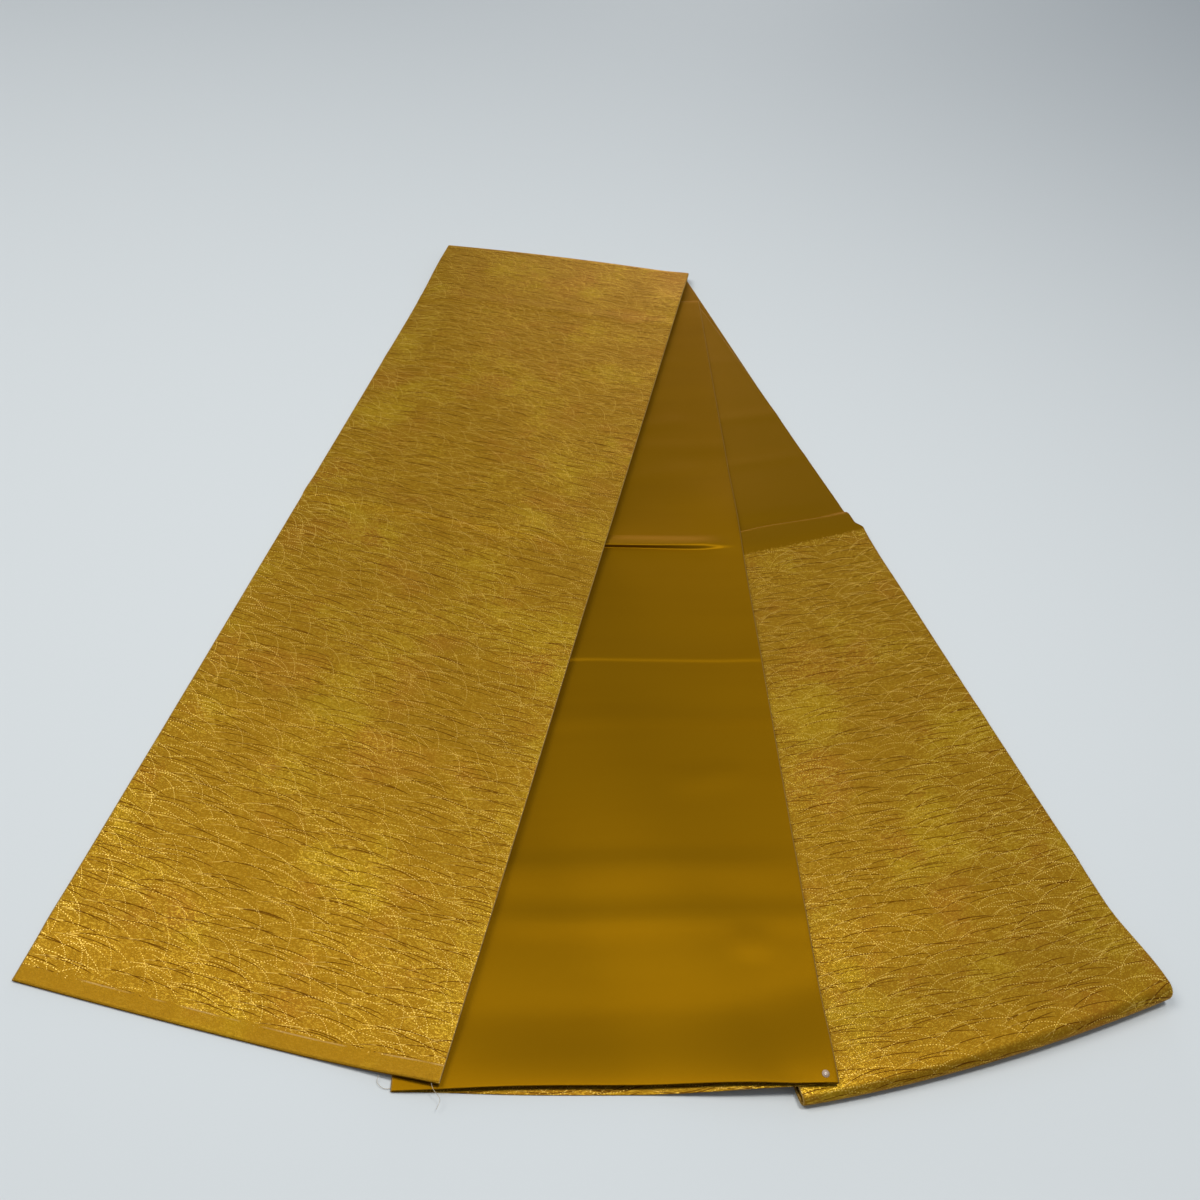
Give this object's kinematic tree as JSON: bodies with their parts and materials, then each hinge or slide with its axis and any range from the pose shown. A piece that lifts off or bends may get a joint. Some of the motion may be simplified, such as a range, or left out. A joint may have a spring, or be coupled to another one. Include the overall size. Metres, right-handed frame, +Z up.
{
  "type": "obi sash",
  "caption": "Long lined kimono sash with a gold brocade face and plain satin back, folded lengthwise into a stack and laid flat as an open fan.",
  "frame": {"origin": "on the surface the sash lies on, under the middle of its bounding box", "axes": "+Z up; +Y away from the sash's near ends, along the stretch that ends in the te; +X to the right"},
  "size_m": [0.857, 1.1294, 0.023],
  "materials": {
    "front_cloth": "gold brocade: fine metallic grain, clouded gold ground, brown and bright gold grass-blade arcs, soft metallic sheen",
    "back_cloth": "plain brown-gold satin weave with a soft sheen across the width",
    "stud": "pale pearl-glazed small domed stud"
  },
  "bodies": {
    "root": {"tare_front_cloth": "front_cloth", "tare_back_cloth": "back_cloth", "outer_fold_front_cloth": "front_cloth", "outer_fold_back_cloth": "back_cloth", "under_front_cloth": "front_cloth", "under_back_cloth": "back_cloth", "near_roll_front_cloth": "front_cloth", "near_roll_back_cloth": "back_cloth", "middle_front_cloth": "front_cloth", "middle_back_cloth": "back_cloth", "inner_fold_front_cloth": "front_cloth", "inner_fold_back_cloth": "back_cloth", "te_front_cloth": "front_cloth", "te_back_cloth": "back_cloth", "te_stud": "stud"}
  },
  "joints": []
}
